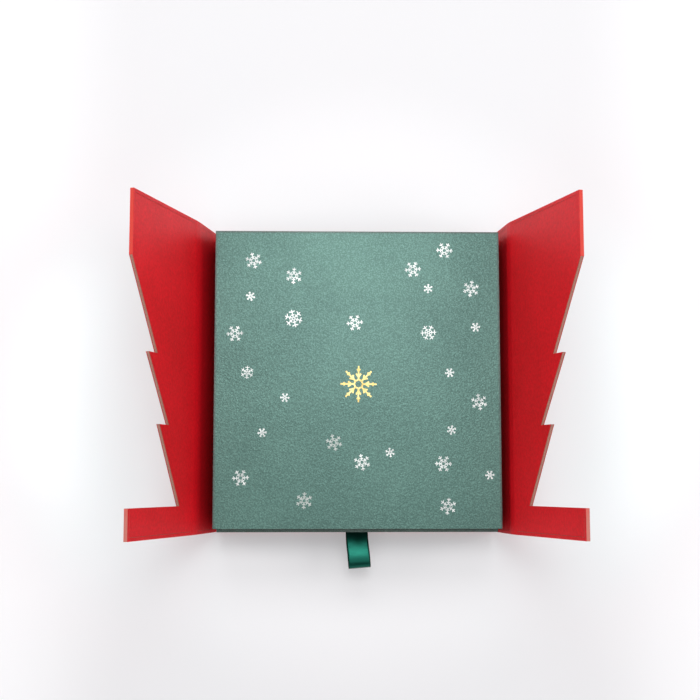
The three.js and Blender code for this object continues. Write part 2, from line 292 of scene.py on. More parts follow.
# %% Raw greyboard and lining paper
def make_fibre_finish(name, dark, light, fibre_width, detail, relief, depth, roughness):
    """A matt felt of fibres. The depth of its relief is in millimetres."""
    material, tree, place = new_material(name)
    fibre = add_node(tree, "ShaderNodeTexNoise", {
        "Vector": place.outputs["Object"], "Scale": per_metre(fibre_width), "Detail": detail})
    colour = add_node(tree, "ShaderNodeValToRGB", {"Fac": fibre.outputs["Fac"]},
                      stops=((0.3, dark), (0.7, light)))
    bump = add_node(tree, "ShaderNodeBump", {
        "Strength": relief, "Distance": depth * MM, "Height": fibre.outputs["Fac"]})
    shader = add_node(tree, "ShaderNodeBsdfPrincipled", {
        "Base Color": colour.outputs["Color"], "Roughness": roughness,
        "Normal": bump.outputs["Normal"]})
    add_node(tree, "ShaderNodeOutputMaterial", {"Surface": shader.outputs[0]})
    return material


greyboard = make_fibre_finish("pressed_greyboard", "#a06c5e", "#c48f7f", fibre_width=0.7,
                              detail=5.0, relief=0.4, depth=0.1, roughness=0.95)
lining_paper = make_fibre_finish("uncoated_lining_paper", "#ddd7cc", "#ebe6dc", fibre_width=0.8,
                                 detail=4.0, relief=0.2, depth=0.06, roughness=0.85)
print("made", greyboard.name, lining_paper.name)


# %% [markdown]
# Hot foil is a film of vaporised metal, pressed on with a heated die. It shines, but the paper's
# grain shows through, so its tone and gloss are mottled some millimetres wide. Where the foil is
# rubbed, it is duller and its mottling finer. The magnets and keeper plates are nickel plated
# steel, hidden in the boards. All are metals with an uneven gloss, so one function makes them.

# %% Foils and plated steel
def make_metal(name, bright, dark, mottle_width, rough_low, rough_high):
    material, tree, place = new_material(name)
    mottle = add_node(tree, "ShaderNodeTexNoise", {
        "Vector": place.outputs["Object"], "Scale": per_metre(mottle_width), "Detail": 3.0})
    colour = add_node(tree, "ShaderNodeValToRGB", {"Fac": mottle.outputs["Fac"]},
                      stops=((0.3, dark), (0.7, bright)))
    rough = add_node(tree, "ShaderNodeMapRange", {
        "Value": mottle.outputs["Fac"], "To Min": rough_low, "To Max": rough_high})
    shader = add_node(tree, "ShaderNodeBsdfPrincipled", {
        "Base Color": colour.outputs["Color"], "Metallic": 1.0,
        "Roughness": rough.outputs["Result"]})
    add_node(tree, "ShaderNodeOutputMaterial", {"Surface": shader.outputs[0]})
    return material


silver_foil = make_metal("silver_hot_foil", "#c6c8c6", "#8e9291", 9, 0.32, 0.5)
rubbed_foil = make_metal("rubbed_silver_foil", "#b2b7b4", "#868f8b", 2, 0.42, 0.58)
gold_foil = make_metal("gold_hot_foil", "#c9b780", "#97834f", 5, 0.28, 0.45)
plated_steel = make_metal("nickel_plated_steel", "#b9bbbd", "#9a9c9f", 2, 0.2, 0.35)
print("made", silver_foil.name, rubbed_foil.name, gold_foil.name, plated_steel.name)


# %% [markdown]
# Satin ribbon is woven so that its lengthwise threads float on the face. The floats lie side by
# side along the ribbon, about 0.1 mm apart, too fine to show here, so they are drawn 0.4 mm wide.
# They stretch the highlight across the ribbon. The edges are a firmer, darker woven selvedge. The
# threads have to follow the ribbon round its loop, so the pattern reads the ribbon's own UV map.

# %% Satin ribbon
RIBBON_WIDTH = 16.0
FLOAT_WIDTH = 0.4
SELVEDGE_STARTS, SELVEDGE_FULL = 0.44, 0.48


def make_satin():
    material, tree, place = new_material("green_satin_weave")
    split = add_node(tree, "ShaderNodeSeparateXYZ", {"Vector": place.outputs["UV"]})
    thread = add_node(tree, "ShaderNodeMath", {
        0: split.outputs["X"], 1: RIBBON_WIDTH / FLOAT_WIDTH * math.tau}, operation="MULTIPLY")
    wave = add_node(tree, "ShaderNodeMath", {0: thread.outputs[0]}, operation="SINE")
    centred = add_node(tree, "ShaderNodeMath", {0: split.outputs["X"], 1: 0.5},
                       operation="SUBTRACT")
    away = add_node(tree, "ShaderNodeMath", {0: centred.outputs[0]}, operation="ABSOLUTE")
    edge = add_node(tree, "ShaderNodeMapRange", {
        "Value": away.outputs[0], "From Min": SELVEDGE_STARTS, "From Max": SELVEDGE_FULL})
    face = add_node(tree, "ShaderNodeMapRange", {
        "Value": wave.outputs[0], "From Min": -1.0, "From Max": 1.0})
    silk = add_node(tree, "ShaderNodeValToRGB", {"Fac": face.outputs["Result"]},
                    stops=((0.0, "#0b4a3d"), (1.0, "#1b6053")))
    colour = add_node(tree, "ShaderNodeMix", {
        "Factor": edge.outputs["Result"], "A": silk.outputs["Color"], "B": linear("#052c22")},
        data_type="RGBA")
    bump = add_node(tree, "ShaderNodeBump", {
        "Strength": 0.15, "Distance": 0.04 * MM, "Height": wave.outputs[0]})
    shader = add_node(tree, "ShaderNodeBsdfPrincipled", {
        "Base Color": colour.outputs["Result"], "Roughness": 0.32, "Metallic": 0.88,
        "Anisotropic": 0.5, "Specular IOR Level": 0.3, "Normal": bump.outputs["Normal"]})
    add_node(tree, "ShaderNodeOutputMaterial", {"Surface": shader.outputs[0]})
    return material


satin = make_satin()
print("made", satin.name)

# %% [markdown]
# Each CAD node keeps its shape and gets its finish by what it is made of. The names in the frame
# say which it is, so a short table does it. Paper drawn over a board has no sharp corner, so a
# Bevel modifier rounds the edges of the two green covers by half a millimetre or less.

# %% Finishes of the CAD nodes
SLEEVE_ROUND, DRAWER_ROUND = 0.5, 0.4
FOLDED_EDGE = math.radians(60)


def finish_for(name):
    if "magnet" in name or "keeper" in name:
        return plated_steel
    if name.endswith("_board"):
        return greyboard
    if name == "drawer_lining":
        return lining_paper
    return {"sleeve_wrap": pearl_paper, "drawer_wrap": drawer_paper_and_shade}.get(name, red_paper)


def round_edges(node, radius):
    """Rounds a paper's folded edges a little. The node's own mesh stays as it is."""
    bevel = node.modifiers.new("folded_edges", "BEVEL")
    bevel.width, bevel.segments = radius * MM, 2
    bevel.limit_method, bevel.angle_limit = "ANGLE", FOLDED_EDGE


for name, node in nodes.items():
    node.data.materials.clear()
    node.data.materials.append(finish_for(name))
for name, radius in (("sleeve_wrap", SLEEVE_ROUND), ("drawer_wrap", DRAWER_ROUND)):
    round_edges(nodes[name], radius)
print("finished", len(nodes), "nodes")


# %% [markdown]
# A new piece is a plain mesh in metres, in the frame's place. Its faces are made to point
# outwards, and its finish is set where it is made.

# %% Making a piece from points and faces
SMOOTH_BELOW = math.radians(30)


def make_piece(name, points, faces, material, smooth=False):
    mesh = bpy.data.meshes.new(name)
    mesh.from_pydata([Vector(p) * MM for p in points], [], faces)
    work = bmesh.new()
    work.from_mesh(mesh)
    bmesh.ops.recalc_face_normals(work, faces=work.faces)
    work.to_mesh(mesh)
    work.free()
    for polygon in mesh.polygons:
        polygon.use_smooth = smooth
    if smooth:
        mesh.set_sharp_from_angle(angle=SMOOTH_BELOW)
    mesh.materials.append(material)
    piece = bpy.data.objects.new(name, mesh)
    bpy.context.scene.collection.objects.link(piece)
    return piece


# %% [markdown]
# A book-like case hinges in its paper. The outer paper runs over the fold in one sheet, and inside
# the lining crosses the gutter between two boards. The CAD model leaves a slit there so that its
# parts can turn. Here an outer strip bridges each slit and a lining crosses each gutter. At each
# end of a gutter the paper is turned in, so a third strip closes the gap between the ends of the
# two boards.

# %% Places and directions at each fold
def direction(angle, side):
    """A unit step in the x-z plane, leaning outwards from upright by an angle."""
    turn = math.radians(angle)
    return Vector((OUTWARD[side] * math.sin(turn), 0, math.cos(turn)))


def inward(step, side):
    """The inner normal of a panel that runs along a step."""
    return Vector((-OUTWARD[side] * step.z, 0, OUTWARD[side] * step.x))


def folds_of(side):
    """For each fold its line, then each panel's body, step away from the line and inner normal."""
    out = OUTWARD[side]
    corner = Vector((out * CASE_HALF_WIDTH, 0, 0))
    rise = direction(SIDE_LEAN[side], side)
    shoulder = corner + rise * SIDE_HEIGHT
    base = (Vector((-out, 0, 0)), Vector((0, 0, 1)))
    wall = (rise, inward(rise, side))
    wall_down = (-rise, inward(rise, side))
    leaf = direction(DOOR_LEAN[side], side)
    door = (leaf, inward(leaf, side))
    return {
        "side_fold": (corner, ("case", *base), (f"{side}_side", *wall)),
        "door_fold": (shoulder, (f"{side}_side", *wall_down), (f"{side}_door", *door)),
    }


print("left shoulder at", [round(v, 2) for v in folds_of("left")["door_fold"][0]])


# %% Strips that run along a fold
def along_fold(name, low, high, spans, material, smooth=False):
    """A closed band between a lower and an upper line, run along y over each span."""
    count, points, faces = len(low), [], []
    ring = low + high[::-1]
    for span in spans:
        base = len(points)
        points += [(p.x, y, p.z) for y in span for p in ring]
        for i in range(len(ring)):
            j = (i + 1) % len(ring)
            faces.append([base + k for k in (i, j, len(ring) + j, len(ring) + i)])
        for end in (base, base + len(ring)):
            faces += [[end + k for k in (i, i + 1, 2 * count - 2 - i, 2 * count - 1 - i)]
                      for i in range(count - 1)]
    return make_piece(name, points, faces, material, smooth)


# %% [markdown]
# The outer strip fills the slit level with the outer paper and laps a little way under it on both
# sides. Its steps are short, so that it bends as a curve. It lies 0.01 mm off the paper, because
# two faces in one place flicker.

# %% The outer strips
BRIDGE_HALF, BRIDGE_STEPS, BRIDGE_INSET = 1.3, 6, 0.15
SLIT_HALF = 0.35
BRIDGE_IN_SLIT, BRIDGE_ON_PAPER, BRIDGE_INSIDE = 0.02, 0.21, 0.33


def make_bridge(side, fold_name):
    """The outer paper over the slit, bent round from one panel to the other."""
    origin, (body_a, step_a, up_a), (body_b, step_b, up_b) = folds_of(side)[fold_name]
    low, high = [], []
    for i in range(-BRIDGE_STEPS, BRIDGE_STEPS + 1):
        share = i / BRIDGE_STEPS
        step, up = (step_b, up_b) if share > 0 else (step_a, up_a)
        if share == 0:
            up = (up_a + up_b).normalized()
        place = origin + step * abs(share) * BRIDGE_HALF
        past_slit = abs(share) * BRIDGE_HALF > SLIT_HALF
        low.append(place + up * (BRIDGE_ON_PAPER if past_slit else BRIDGE_IN_SLIT))
        high.append(place + up * BRIDGE_INSIDE)
    name = f"{side}_{fold_name}_paper"
    reach = CASE_HALF_DEPTH - BRIDGE_INSET
    piece = along_fold(name, low, high, [(-reach, reach)], red_paper)
    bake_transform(piece)
    return piece


# %% [markdown]
# The lining spans the gutter from board to board and laps 4 mm over each. It thins out to almost
# nothing at the ends of its laps, so that no step shows there.

# %% The gutter linings
GUTTER_STEPS = 12
LAP, LAP_STEPS = 4.0, 4
LINING_LIFT, LINING_EDGE, LINING_THICK, LINING_INSET = 0.02, 0.01, 0.11, 0.1


def make_lining(side, fold_name):
    """The lining that crosses the gutter between two boards, and thins out over both faces."""
    origin, (body_a, step_a, up_a), (body_b, step_b, up_b) = folds_of(side)[fold_name]
    edge_a = origin + step_a * BOARD_SETBACK + up_a * CASE_WALL
    edge_b = origin + step_b * BOARD_SETBACK + up_b * CASE_WALL
    shares = [i / GUTTER_STEPS for i in range(GUTTER_STEPS + 1)]
    tilts = [up_a + (up_b - up_a) * share for share in shares]
    laps = [LAP * (1 - i / LAP_STEPS) for i in range(LAP_STEPS)]
    under = [edge_a + step_a * lap + up_a * LINING_LIFT for lap in laps]
    under += [edge_a + (edge_b - edge_a) * share + tilt * LINING_LIFT
              for share, tilt in zip(shares, tilts)]
    under += [edge_b + step_b * lap + up_b * LINING_LIFT for lap in laps[::-1]]
    ups = [up_a] * LAP_STEPS + [tilt.normalized() for tilt in tilts] + [up_b] * LAP_STEPS
    thick = [LINING_EDGE + (LINING_THICK - LINING_EDGE) * i / LAP_STEPS for i in range(LAP_STEPS)]
    thick += [LINING_THICK] * len(shares) + thick[::-1]
    over = [p + up * t for p, up, t in zip(under, ups, thick)]
    name = f"{side}_{fold_name}_lining"
    reach = CASE_HALF_DEPTH - LINING_INSET
    piece = along_fold(name, under, over, [(-reach, reach)], red_paper, True)
    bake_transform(piece)
    return piece


# %% [markdown]
# A turn-in is a thin wall at each end of a gutter. It stands on the outer strip and reaches up to
# the level of the boards' faces.

# %% The turn-ins, and all strips of the four folds
TURN_STEPS, TURN_CLEAR = 4, 0.06
TURN_FOOT, TURN_FOOT_AT_FOLD = 0.36, 0.4
TURN_OUTER, TURN_INNER = CASE_HALF_DEPTH - 0.02, CASE_HALF_DEPTH - 0.3


def make_turn_in(side, fold_name):
    """The paper turned in at both ends of a gutter, which hides the ends of the boards."""
    origin, (body_a, step_a, up_a), (body_b, step_b, up_b) = folds_of(side)[fold_name]
    half = BOARD_SETBACK - TURN_CLEAR
    foot = [origin + step_a * half * (1 - i / TURN_STEPS) + up_a * TURN_FOOT
            for i in range(TURN_STEPS)]
    foot.append(origin + (up_a + up_b).normalized() * TURN_FOOT_AT_FOLD)
    foot += [origin + step_b * half * (i / TURN_STEPS) + up_b * TURN_FOOT
             for i in range(1, TURN_STEPS + 1)]
    head_a = origin + step_a * half + up_a * (CASE_WALL - TURN_CLEAR)
    head_b = origin + step_b * half + up_b * (CASE_WALL - TURN_CLEAR)
    head = [head_a.lerp(head_b, i / (2 * TURN_STEPS)) for i in range(2 * TURN_STEPS + 1)]
    name = f"{side}_{fold_name}_turn_in"
    spans = [(-TURN_OUTER, -TURN_INNER), (TURN_INNER, TURN_OUTER)]
    piece = along_fold(name, foot, head, spans, red_paper)
    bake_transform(piece)
    return piece


strips = []
for side in ("left", "right"):
    for fold_name in ("side_fold", "door_fold"):
        strips += [make(side, fold_name) for make in (make_bridge, make_lining, make_turn_in)]
print("made", len(strips), "strips in the folds")


# %% [markdown]
# The ribbon loop is a strip of satin, glued up and down behind the drawer's front and pushed out
# through a slit. A stiff paper loop would be round; satin makes a teardrop, whose two strands leave
# the slit at a slant and turn over at a blunt tip. The loop sags a little as it goes out. The lower
# tab and bend mirror the upper ones, so only the upper ones are written out.

# %% The ribbon's middle line
SLIT_Z = 27.65
RIBBON_REACH = 26.5
RIBBON_SWELL, RIBBON_BLUNT = 11.4, 0.6
RIBBON_DROOP = 0.4
TAB_Y, TAB_LENGTH, TAB_STEPS = -107.4, 14.0, 6
STRAND = 0.5
BEND_RADIUS, BEND_STEPS = 0.8, 6
LOOP_STEPS = 72


def ribbon_line():
    """Points (y, z) from the end of the upper tab, round the loop, to the end of the lower tab."""
    bend_z = SLIT_Z + STRAND + BEND_RADIUS
    upper = [(TAB_Y, bend_z + TAB_LENGTH * (1 - i / TAB_STEPS)) for i in range(TAB_STEPS + 1)]
    for i in range(1, BEND_STEPS + 1):
        turn = math.pi / 2 * i / BEND_STEPS
        upper.append((TAB_Y - BEND_RADIUS * (1 - math.cos(turn)),
                      bend_z - BEND_RADIUS * math.sin(turn)))
    loop = []
    for i in range(LOOP_STEPS + 1):
        turn = math.tau * i / LOOP_STEPS
        out = (1 - math.cos(turn)) / 2
        half = math.cos(turn / 2)
        swell = RIBBON_SWELL * out * math.copysign(abs(half) ** RIBBON_BLUNT, half)
        loop.append((DRAWER_FRONT - RIBBON_REACH * out,
                     SLIT_Z + STRAND * half + swell - RIBBON_DROOP * out * out))
    lower = [(y, 2 * SLIT_Z - z) for y, z in reversed(upper)]
    return upper + loop + lower


line = ribbon_line()

# %% [markdown]
# The strip is a grid of faces along that line. It cups a little across its width, and the loop
# hangs a few degrees to one side. Solidify gives it its thickness on both sides of the line.

# %% The ribbon as a sheet
ACROSS = 12
CUP, CUP_REACH = 0.25, 10
RIBBON_SWING = 4.5
SATIN_THICKNESS = 0.3


def swung(x, y, z):
    """The loop hangs a little to one side, from nothing at the slit."""
    out = max(DRAWER_FRONT - y, 0)
    turn = math.radians(RIBBON_SWING) * min(out / RIBBON_WIDTH, 1)
    return (x * math.cos(turn) + out * math.sin(turn), y + x * math.sin(turn), z)


def make_ribbon():
    points, places, run = [], [], 0.0
    for i, (y, z) in enumerate(line):
        run += math.dist(line[i - 1], line[i]) if i else 0
        out = min(max(DRAWER_FRONT - y, 0) / CUP_REACH, 1)
        for j in range(ACROSS + 1):
            share = j / ACROSS
            cup = CUP * out * (2 * share - 1) ** 2
            points.append(swung((share - 0.5) * RIBBON_WIDTH, y, z - cup))
            places.append((share, run / RIBBON_WIDTH))
    row = ACROSS + 1
    faces = [(i * row + j, i * row + j + 1, (i + 1) * row + j + 1, (i + 1) * row + j)
             for i in range(len(line) - 1) for j in range(ACROSS)]
    ribbon = make_piece("satin_ribbon", points, faces, satin, smooth=True)
    layer = ribbon.data.uv_layers.new(name="UVMap")
    for loop in ribbon.data.loops:
        layer.data[loop.index].uv = places[loop.vertex_index]
    thick = ribbon.modifiers.new("thickness", "SOLIDIFY")
    thick.thickness, thick.offset = SATIN_THICKNESS * MM, 0
    return ribbon


ribbon = make_ribbon()
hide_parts("ribbon_pull")
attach(ribbon, "drawer")
print("ribbon has", len(ribbon.data.polygons), "faces")


# %% [markdown]
# The foil ornaments repeat one rule: arms turned about a middle, each with pairs of side branches.
# Geometry Nodes hold the rule once, with its sizes as named inputs, and each kind of flake only
# changes the inputs. All sizes are shares of the flake's width from tip to tip, and a turn is in
# radians. An arm is six thin bars. Bars that cross are lifted a few thousandths of a millimetre
# apart, because two faces in one place flicker.

# %% One arm of a flake
FOIL = 0.05
HUB_LIFT, BRANCH_LIFT = 0.001, 0.002
INNER_BRANCH_AT, OUTER_BRANCH_AT = 0.19, 0.36


def add_bar(tree, length, width, start, turn, lift):
    """A thin bar that runs outwards from start, turned about its inner end."""
    size = add_node(tree, "ShaderNodeCombineXYZ", {"X": length, "Y": width, "Z": FOIL * MM})
    bar = add_node(tree, "GeometryNodeMeshCube", {"Size": size.outputs[0]})
    half = add_node(tree, "ShaderNodeMath", {0: length, 1: 0.5}, operation="MULTIPLY")
    shift = add_node(tree, "ShaderNodeCombineXYZ", {"X": half.outputs[0]})
    run = add_node(tree, "GeometryNodeTransform", {
        "Geometry": bar.outputs["Mesh"], "Translation": shift.outputs[0]})
    origin = add_node(tree, "ShaderNodeCombineXYZ", {"X": start, "Z": lift * MM})
    spin = add_node(tree, "ShaderNodeCombineXYZ", {"Z": turn})
    return add_node(tree, "GeometryNodeTransform", {
        "Geometry": run.outputs[0], "Translation": origin.outputs[0],
        "Rotation": spin.outputs[0]}).outputs[0]


def add_arm(tree, given):
    """The arm's shaft, its side of the ring round the hub, and two pairs of branches."""
    width, hub = given.outputs["Bar width"], given.outputs["Hub"]
    back = add_node(tree, "ShaderNodeMath", {0: given.outputs["Branch turn"], 1: -1.0},
                    operation="MULTIPLY")
    reach = add_node(tree, "ShaderNodeMath", {0: 0.5, 1: hub}, operation="SUBTRACT")
    half = add_node(tree, "ShaderNodeMath", {0: math.pi, 1: given.outputs["Arms"]},
                    operation="DIVIDE")
    sine = add_node(tree, "ShaderNodeMath", {0: half.outputs[0]}, operation="SINE")
    rung = add_node(tree, "ShaderNodeMath", {0: sine.outputs[0], 1: hub}, operation="MULTIPLY")
    side = add_node(tree, "ShaderNodeMath", {0: rung.outputs[0], 1: 2.0}, operation="MULTIPLY")
    slant = add_node(tree, "ShaderNodeMath", {0: half.outputs[0], 1: math.pi / 2}, operation="ADD")
    bars = [add_bar(tree, reach.outputs[0], width, hub, 0.0, 0.0),
            add_bar(tree, side.outputs[0], width, hub, slant.outputs[0], HUB_LIFT)]
    lift = 0.0
    for start, branch in ((INNER_BRANCH_AT, "Inner branch"), (OUTER_BRANCH_AT, "Outer branch")):
        for turn in (given.outputs["Branch turn"], back.outputs[0]):
            lift += BRANCH_LIFT
            bars.append(add_bar(tree, given.outputs[branch], width, start, turn, lift))
    arm = add_node(tree, "GeometryNodeJoinGeometry")
    for bar in bars:
        tree.links.new(bar, arm.inputs[0])
    return arm.outputs[0]


# %% [markdown]
# The arms stand round the flake's middle, and a flake stands on each given point. Each flake is
# turned by a random angle of up to a sixth of a turn, from a fixed seed, so that they look strewn.
# The tree ends in plain geometry with its foil, because the export drops instances.

# %% A node tree for foil flakes
FLAKE_SIZES = {"Bar width": 0.06, "Hub": 0.1, "Inner branch": 0.13, "Outer branch": 0.13,
               "Branch turn": 1.05}
FLAKE_ARMS, FLAKE_SEED = 6, 7


def add_flake_sockets(tree):
    face = tree.interface
    face.new_socket("Geometry", in_out="INPUT", socket_type="NodeSocketGeometry")
    for name, value in FLAKE_SIZES.items():
        face.new_socket(name, in_out="INPUT", socket_type="NodeSocketFloat").default_value = value
    for name, value in (("Arms", FLAKE_ARMS), ("Seed", FLAKE_SEED)):
        face.new_socket(name, in_out="INPUT", socket_type="NodeSocketInt").default_value = value
    face.new_socket("Foil", in_out="INPUT", socket_type="NodeSocketMaterial")
    face.new_socket("Geometry", in_out="OUTPUT", socket_type="NodeSocketGeometry")


def make_flake_tree():
    tree = bpy.data.node_groups.new("foil_flakes", "GeometryNodeTree")
    add_flake_sockets(tree)
    given = add_node(tree, "NodeGroupInput")
    arm = add_arm(tree, given)
    step = add_node(tree, "ShaderNodeMath", {0: math.tau, 1: given.outputs["Arms"]},
                    operation="DIVIDE")
    index = add_node(tree, "GeometryNodeInputIndex")
    angle = add_node(tree, "ShaderNodeMath", {0: index.outputs[0], 1: step.outputs[0]},
                     operation="MULTIPLY")
    spin = add_node(tree, "ShaderNodeCombineXYZ", {"Z": angle.outputs[0]})
    centre = add_node(tree, "GeometryNodePoints", {"Count": given.outputs["Arms"]})
    flake = add_node(tree, "GeometryNodeInstanceOnPoints", {
        "Points": centre.outputs[0], "Instance": arm, "Rotation": spin.outputs[0]})
    size = add_node(tree, "GeometryNodeInputNamedAttribute", {"Name": "flake_size"},
                    data_type="FLOAT")
    scale = add_node(tree, "ShaderNodeCombineXYZ", {
        "X": size.outputs[0], "Y": size.outputs[0], "Z": 1.0})
    tilt = add_node(tree, "FunctionNodeRandomValue", {
        "Max": math.tau / 6, "Seed": given.outputs["Seed"]}, data_type="FLOAT")
    loose = [s for s in tilt.outputs if s.enabled][0]
    turned = add_node(tree, "ShaderNodeCombineXYZ", {"Z": loose})
    spread = add_node(tree, "GeometryNodeInstanceOnPoints", {
        "Points": given.outputs["Geometry"], "Instance": flake.outputs[0],
        "Rotation": turned.outputs[0], "Scale": scale.outputs[0]})
    real = add_node(tree, "GeometryNodeRealizeInstances", {"Geometry": spread.outputs[0]})
    foil = add_node(tree, "GeometryNodeSetMaterial", {
        "Geometry": real.outputs[0], "Material": given.outputs["Foil"]})
    add_node(tree, "NodeGroupOutput", {"Geometry": foil.outputs[0]})
    return tree


flake_tree = make_flake_tree()
print("flake tree has", len(flake_tree.nodes), "nodes")


# %% [markdown]
# The foil is pressed on, so it stands a few hundredths of a millimetre proud of the sleeve's top.
# Each kind of flake is one piece: its places become points, the tree turns them into flakes, and
# the result is kept as a plain mesh.

# %% Putting flakes on the sleeve's top
FOIL_GAP = 0.01


def add_flakes(name, places, sizes, foil, inputs):
    """Puts one kind of flake at each place, in millimetres from the middle of the top."""
    mesh = bpy.data.meshes.new(name + "_places")
    height = SLEEVE_TOP + FOIL_GAP + FOIL / 2
    mesh.from_pydata([(x * MM, (y + SLEEVE_MIDDLE) * MM, height * MM) for x, y in places], [], [])
    attribute = mesh.attributes.new("flake_size", "FLOAT", "POINT")
    attribute.data.foreach_set("value", [s * MM for s in sizes])
    holder = bpy.data.objects.new(name + "_places", mesh)
    bpy.context.scene.collection.objects.link(holder)
    modifier = holder.modifiers.new("flakes", "NODES")
    modifier.node_group = flake_tree
    values = dict(inputs, Foil=foil)
    for item in flake_tree.interface.items_tree:
        if item.in_out == "INPUT" and item.name in values:
            modifier[item.identifier] = values[item.name]
    bpy.context.view_layer.update()
    graph = bpy.context.evaluated_depsgraph_get()
    plain = bpy.data.meshes.new_from_object(holder.evaluated_get(graph))
    bpy.data.objects.remove(holder)
    plain.name = name
    piece = bpy.data.objects.new(name, plain)
    bpy.context.scene.collection.objects.link(piece)
    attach(piece, "case")
    return piece


# %% [markdown]
# Large and small flakes are strewn over the top. Two of the large ones were rubbed faint. Three are
# of a plainer kind with wide branches, and one gold star with eight arms stands in the middle.

# %% The flakes and the star
LARGE, SMALL, STAR = 11.9, 6.8, 26.0
PLAIN_SIZES = [12.9, 9.3, 11.2]
large = [(-75, 85), (-46, 74), (-88, 32), (-2, 40), (63, 93), (40, 79), (82, 65), (87, -17),
         (-83, -71), (61, -61), (64, -91), (3, -60)]
faint = [(-17, -46), (-38, -87)]
small = [(-77, 59), (51, 65), (85, 37), (66, 4), (-52, -14), (-68, -39), (67, -37), (23, -53),
         (94, -69)]
plain = [(-46, 43), (-79, 4), (51, 33)]
star = [(0.6, -4.2)]
large_shape = {"Bar width": 0.052, "Hub": 0.14, "Inner branch": 0.12, "Outer branch": 0.13}
flakes = [
    add_flakes("foil_flakes_large", large, [LARGE] * len(large), silver_foil, large_shape),
    add_flakes("foil_flakes_faint", faint, [LARGE] * len(faint), rubbed_foil,
               {**large_shape, "Bar width": 0.058}),
    add_flakes("foil_flakes_small", small, [SMALL] * len(small), silver_foil,
               {"Bar width": 0.085, "Hub": 0.11, "Inner branch": 0.09, "Outer branch": 0.13}),
    add_flakes("foil_flakes_plain", plain, PLAIN_SIZES, silver_foil,
               {"Bar width": 0.055, "Hub": 0.08, "Inner branch": 0.1, "Outer branch": 0.17,
                "Branch turn": 1.3}),
    add_flakes("foil_star", star, [STAR], gold_foil,
               {"Bar width": 0.045, "Hub": 0.12, "Inner branch": 0.12, "Outer branch": 0.07,
                "Branch turn": 0.6, "Arms": 8}),
]
print("foil faces:", [len(piece.data.polygons) for piece in flakes])

# %% [markdown]
# The floor is a plain pale sheet that keeps the box's shadow. Its own colour makes the ground as
# pale as it should be, with no more light on the box. Beside the doors that colour has less red in
# it, which takes back most of the pink that the doors throw on the floor. The pink is strongest
# 175 mm out and 10 mm before the middle, and it reaches further along a door than away from it.
# Away from the box the camera sees more and more of a plain white glow, which no other ray sees, so
# the ground has no end. Each change follows a distance, from the middle, from the middle line or
# from a door, so a table in metres holds them all.

# %% What the floor's colour and glow follow
FLOOR_HALF = 3.0
FLOOR_DROP = 0.0002
DOOR_SHIFT = (-0.175, 0.01, 0.0)
DOOR_SQUEEZE = (1.0, 0.6, 0.0)
FLOOR_CHANGES = (  # name, what it follows, from there to there, from this value to that
    ("beside_door", "from_door", 0.03, 0.11, 1.0, 0.0),
    ("outside", "from_middle", 0.17, 0.25, 0.0, 1.0),
    ("side_glow", "from_line", 0.165, 0.27, 1.0, 1.6),
    ("far_glow", "from_middle", 0.34, 0.6, 1.0, 1.6),
    ("door_share", "beside_door", 0.0, 1.0, 0.21, 0.5),
    ("far_share", "from_middle", 0.4, 1.1, 0.21, 1.0),
)


def measure_floor(tree, at):
    """Distances on the floor in metres, and the smooth changes that follow them."""
    split = add_node(tree, "ShaderNodeSeparateXYZ", {"Vector": at})
    from_line = add_node(tree, "ShaderNodeMath", {0: split.outputs["X"]}, operation="ABSOLUTE")
    from_middle = add_node(tree, "ShaderNodeVectorMath", {0: at}, operation="LENGTH")
    folded = add_node(tree, "ShaderNodeCombineXYZ", {
        "X": from_line.outputs[0], "Y": split.outputs["Y"]})
    shifted = add_node(tree, "ShaderNodeVectorMath", {0: folded.outputs[0], 1: DOOR_SHIFT})
    squeezed = add_node(tree, "ShaderNodeVectorMath", {0: shifted.outputs[0], 1: DOOR_SQUEEZE},
                        operation="MULTIPLY")
    from_door = add_node(tree, "ShaderNodeVectorMath", {0: squeezed.outputs[0]}, operation="LENGTH")
    found = {"from_line": from_line.outputs[0], "from_middle": from_middle.outputs["Value"],
             "from_door": from_door.outputs["Value"]}
    for name, follows, start, end, low, high in FLOOR_CHANGES:
        found[name] = add_node(tree, "ShaderNodeMapRange", {
            "Value": found[follows], "From Min": start, "From Max": end, "To Min": low,
            "To Max": high}, interpolation_type="SMOOTHSTEP").outputs["Result"]
    return found


# %% The floor and its finish
def make_floor_finish():
    material, tree, place = new_material("pale_studio_floor")
    found = measure_floor(tree, place.outputs["Object"])
    plain = add_node(tree, "ShaderNodeMix", {
        "Factor": found["outside"], "A": linear("#f5f4f6"), "B": linear("#ecebed")},
        data_type="RGBA")
    ground = add_node(tree, "ShaderNodeMix", {
        "Factor": found["beside_door"], "A": plain.outputs["Result"], "B": linear("#e3f3f5")},
        data_type="RGBA")
    shade = add_node(tree, "ShaderNodeBsdfPrincipled", {
        "Base Color": ground.outputs["Result"], "Roughness": 0.9})
    strength = add_node(tree, "ShaderNodeMath", {0: found["side_glow"], 1: found["far_glow"]},
                        operation="MAXIMUM")
    glow = add_node(tree, "ShaderNodeEmission", {
        "Color": linear("#fdfdfe"), "Strength": strength.outputs[0]})
    most = add_node(tree, "ShaderNodeMath", {0: found["far_share"], 1: found["door_share"]},
                    operation="MAXIMUM")
    ray = add_node(tree, "ShaderNodeLightPath")
    share = add_node(tree, "ShaderNodeMath", {0: ray.outputs["Is Camera Ray"], 1: most.outputs[0]},
                     operation="MULTIPLY")
    shader = add_node(tree, "ShaderNodeMixShader", {
        0: share.outputs[0], 1: shade.outputs[0], 2: glow.outputs[0]})
    add_node(tree, "ShaderNodeOutputMaterial", {"Surface": shader.outputs[0]})
    return material


